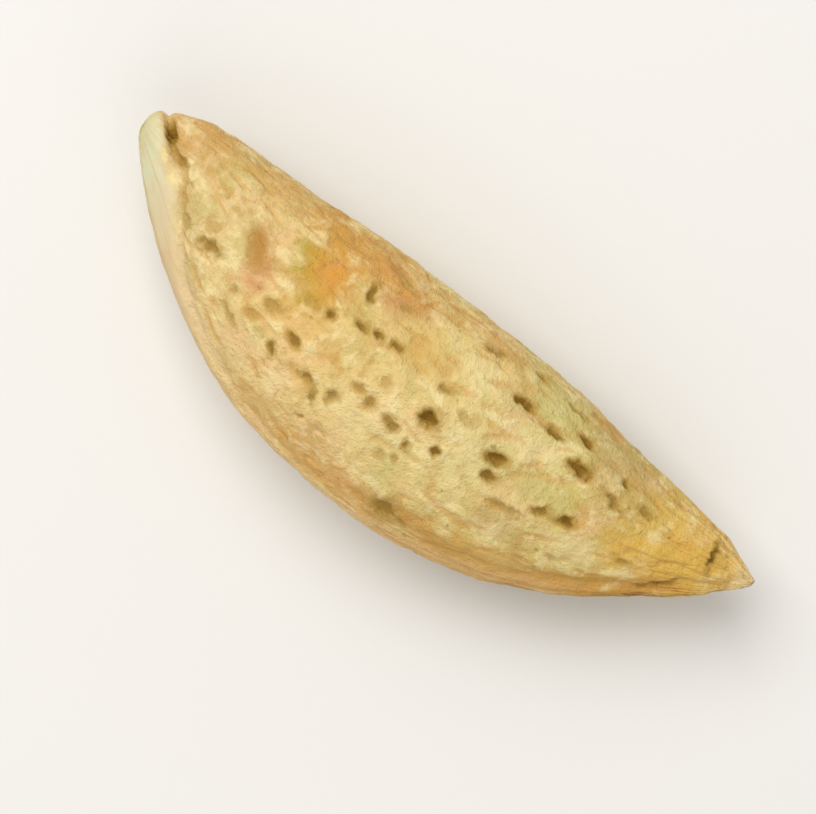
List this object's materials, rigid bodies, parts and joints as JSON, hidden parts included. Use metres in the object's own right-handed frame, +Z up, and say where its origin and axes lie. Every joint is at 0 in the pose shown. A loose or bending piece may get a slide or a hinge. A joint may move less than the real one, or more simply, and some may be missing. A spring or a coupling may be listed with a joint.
{
  "type": "almond in its shell",
  "caption": "Slender almond in its closed pale shell: pitted faces, a lipped keel along the curved edge, a blunt stem end and a pointed tip, lying flat.",
  "frame": {"origin": "middle of the nut's length and width, on the level of the small flat spot it rests on", "axes": "+X along the nut from the stem end to the pointed tip, +Y across it from the keel to the rounded back, +Z up, away from the surface it lies on"},
  "size_m": [0.0398, 0.0126, 0.0103],
  "materials": {
    "shell": "dry matt woody shell, cream in the middle, tan at the edges"
  },
  "bodies": {
    "root": {"almond": "shell"}
  },
  "joints": []
}
